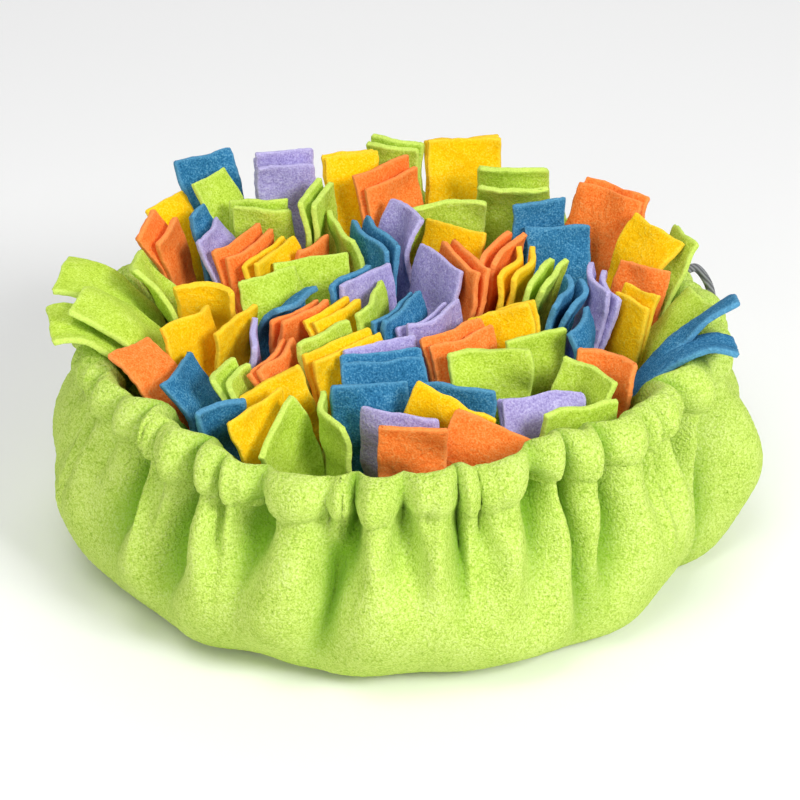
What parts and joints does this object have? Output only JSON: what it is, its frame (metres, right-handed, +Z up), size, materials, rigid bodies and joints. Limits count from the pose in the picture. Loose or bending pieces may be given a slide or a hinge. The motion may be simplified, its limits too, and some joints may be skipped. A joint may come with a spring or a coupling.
{
  "type": "snuffle bag",
  "caption": "Round fleece snuffle bag with a gathered drawcord mouth, packed with a heap of bright cut fleece tabs that hide treats for a pet to sniff out.",
  "frame": {"origin": "middle of the flat base, on the surface that the bag stands on", "axes": "+Z up through the mouth, -Y towards the camera of the picture, +X to its right"},
  "size_m": [0.315, 0.3163, 0.138],
  "materials": {
    "bag_fleece": "soft fleece with a short nubbly pile",
    "green_fleece": "soft brushed fleece, cut edge",
    "blue_fleece": "soft brushed fleece, cut edge",
    "orange_fleece": "soft brushed fleece, cut edge",
    "yellow_fleece": "soft brushed fleece, cut edge",
    "purple_fleece": "soft brushed fleece, cut edge",
    "cord": "matt braided cord"
  },
  "bodies": {
    "root": {"bag": "bag_fleece", "tuft_blue_1": "blue_fleece", "tuft_blue_4": "blue_fleece", "tuft_green_1": "green_fleece", "tuft_purple_1": "purple_fleece", "tuft_yellow_1": "yellow_fleece", "tuft_blue_2": "blue_fleece", "tuft_orange_1": "orange_fleece", "tuft_yellow_2": "yellow_fleece", "tuft_green_2": "green_fleece", "tuft_orange_2": "orange_fleece", "tuft_yellow_3": "yellow_fleece", "tuft_green_3": "green_fleece", "tuft_blue_3": "blue_fleece", "tuft_orange_3": "orange_fleece", "tuft_yellow_4": "yellow_fleece", "tuft_yellow_5": "yellow_fleece", "tuft_orange_4": "orange_fleece", "tuft_purple_2": "purple_fleece", "tuft_orange_5": "orange_fleece", "tuft_yellow_6": "yellow_fleece", "tuft_orange_6": "orange_fleece", "tuft_green_4": "green_fleece", "tuft_purple_3": "purple_fleece", "tuft_green_5": "green_fleece", "tuft_purple_4": "purple_fleece", "tuft_green_6": "green_fleece", "tuft_green_7": "green_fleece", "tuft_yellow_7": "yellow_fleece", "tuft_blue_5": "blue_fleece", "tuft_purple_5": "purple_fleece", "tuft_orange_7": "orange_fleece", "tuft_yellow_8": "yellow_fleece", "tuft_yellow_9": "yellow_fleece", "tuft_yellow_10": "yellow_fleece", "tuft_green_8": "green_fleece", "tuft_blue_6": "blue_fleece", "tuft_purple_6": "purple_fleece", "tuft_yellow_11": "yellow_fleece", "tuft_orange_8": "orange_fleece", "tuft_yellow_12": "yellow_fleece", "tuft_green_9": "green_fleece", "tuft_green_10": "green_fleece", "tuft_blue_7": "blue_fleece", "tuft_purple_7": "purple_fleece", "tuft_yellow_13": "yellow_fleece", "tuft_blue_8": "blue_fleece", "tuft_orange_9": "orange_fleece", "tuft_green_11": "green_fleece", "tuft_purple_8": "purple_fleece", "tuft_orange_10": "orange_fleece", "tuft_yellow_14": "yellow_fleece", "tuft_blue_9": "blue_fleece", "tuft_purple_9": "purple_fleece", "tuft_purple_10": "purple_fleece", "tuft_green_12": "green_fleece", "tuft_blue_10": "blue_fleece", "tuft_green_13": "green_fleece", "tuft_orange_11": "orange_fleece", "drawcord": "cord"}
  },
  "joints": []
}
